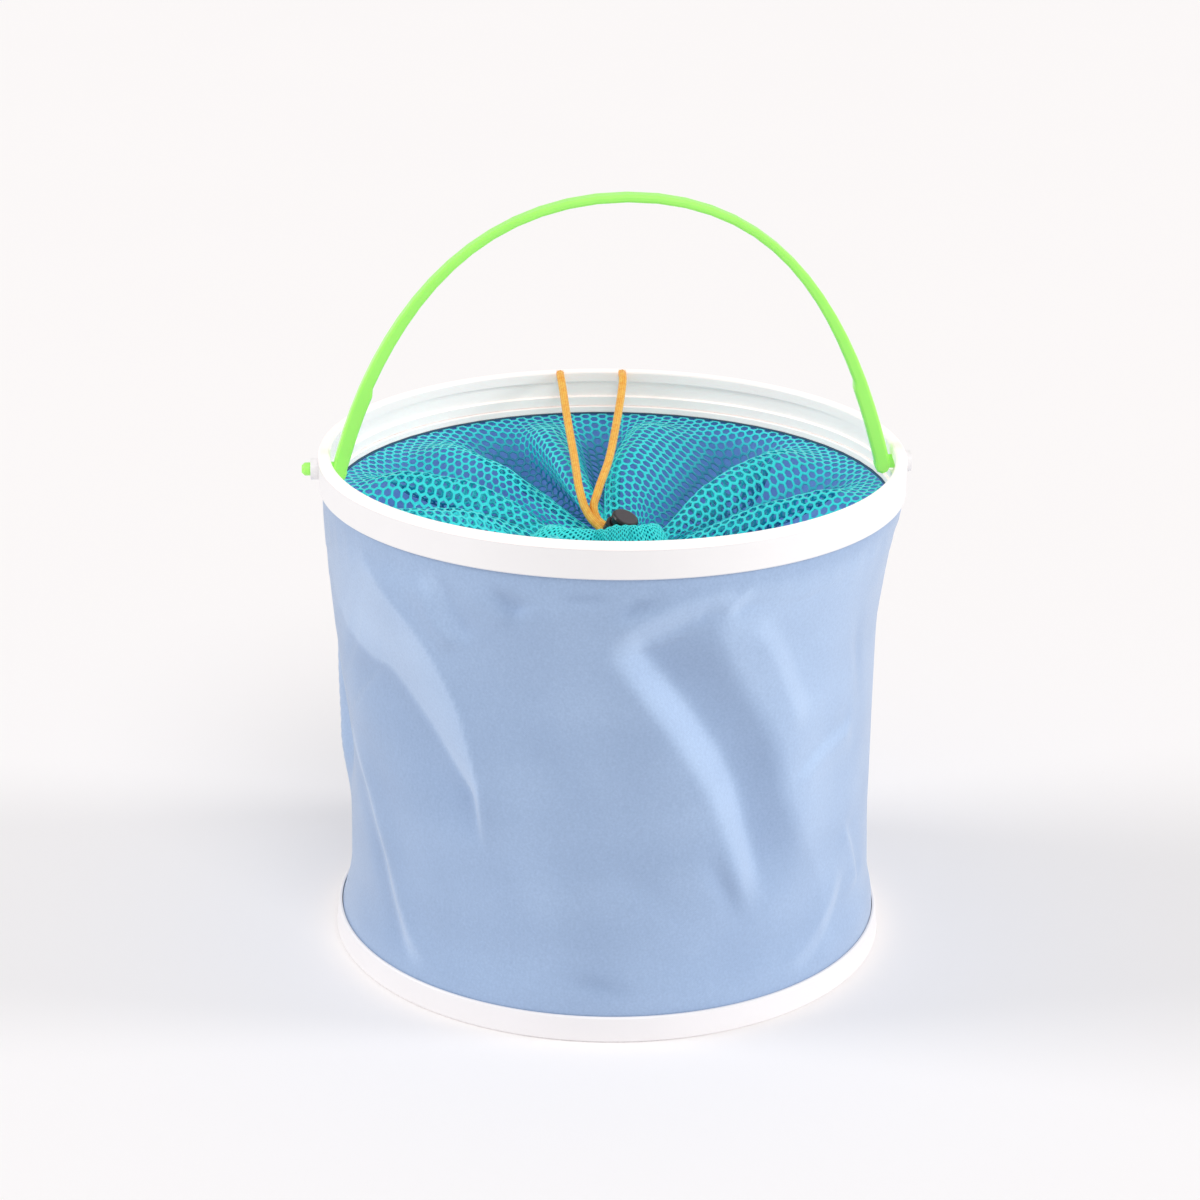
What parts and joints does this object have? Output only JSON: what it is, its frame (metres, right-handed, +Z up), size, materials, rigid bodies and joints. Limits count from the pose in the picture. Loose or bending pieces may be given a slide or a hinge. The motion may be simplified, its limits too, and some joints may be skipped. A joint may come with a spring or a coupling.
{
  "type": "collapsible camp bucket",
  "caption": "Round folding bucket with a fabric wall clamped between a plastic rim and a plastic base, a drawstring net cover with a cord lock, and a swinging bail handle.",
  "frame": {"origin": "centre of the foot ring, on the surface that the bucket stands on", "axes": "+Z up along the bucket's axis, X along the handle's pins, +Y toward the back, where the drawcord is fixed in the lip"},
  "size_m": [0.2708, 0.26, 0.3426],
  "materials": {
    "base_white": "moulded plastic, satin",
    "rim_white": "moulded plastic, satin",
    "panel_cloth": "coated cloth",
    "wall_cloth": "coated cloth, matt",
    "seam_tape": "welded tape",
    "net_edge": "woven edging",
    "net_mesh": "knitted hexagonal net",
    "orange_cord": "braided cord",
    "lock_black": "moulded plastic, satin",
    "lock_button": "moulded plastic, fine texture",
    "spring_steel": "drawn wire",
    "bail_green": "moulded plastic, semi-gloss"
  },
  "bodies": {
    "base": {"base_outer_hoop": "base_white", "base_inner_hoop": "base_white", "base_panel": "panel_cloth", "wall_fabric": "wall_cloth", "wall_seam_tape": "seam_tape"},
    "rim": {"rim_outer_hoop": "rim_white", "rim_inner_hoop": "rim_white", "net_ring": "rim_white", "net_binding": "net_edge", "net_cover": "net_mesh", "net_casing": "net_edge", "net_frill": "net_mesh", "drawcord_left": "orange_cord", "drawcord_right": "orange_cord", "drawcord_loop": "orange_cord"},
    "handle": {"handle_bail": "bail_green"},
    "cord_lock": {"cord_lock_barrel": "lock_black", "cord_lock_spring": "spring_steel"},
    "lock_button": {"cord_lock_button": "lock_button"}
  },
  "joints": [
    {"name": "collapse", "type": "slide", "parent": "base", "child": "rim", "axis": [0, 0, 1], "range_m": [-0.169, 0], "deforming": ["wall_fabric", "wall_seam_tape"]},
    {"name": "handle_swing", "type": "hinge", "parent": "rim", "child": "handle", "pos_m": [0, 0, 0.2203], "axis": [1, 0, 0], "range_deg": [-80, 90]},
    {"name": "lock_slide", "type": "slide", "parent": "rim", "child": "cord_lock", "axis": [-0.15, 0.738, 0.658], "range_m": [0, 0.035], "deforming": ["drawcord_left", "drawcord_right", "drawcord_loop"]},
    {"name": "button_press", "type": "slide", "parent": "cord_lock", "child": "lock_button", "axis": [-0.3287, 0.2761, -0.9032], "range_m": [0, 0.002], "stiffness_N_per_m": 900, "springref_m": -0.001, "deforming": ["cord_lock_spring"]}
  ]
}
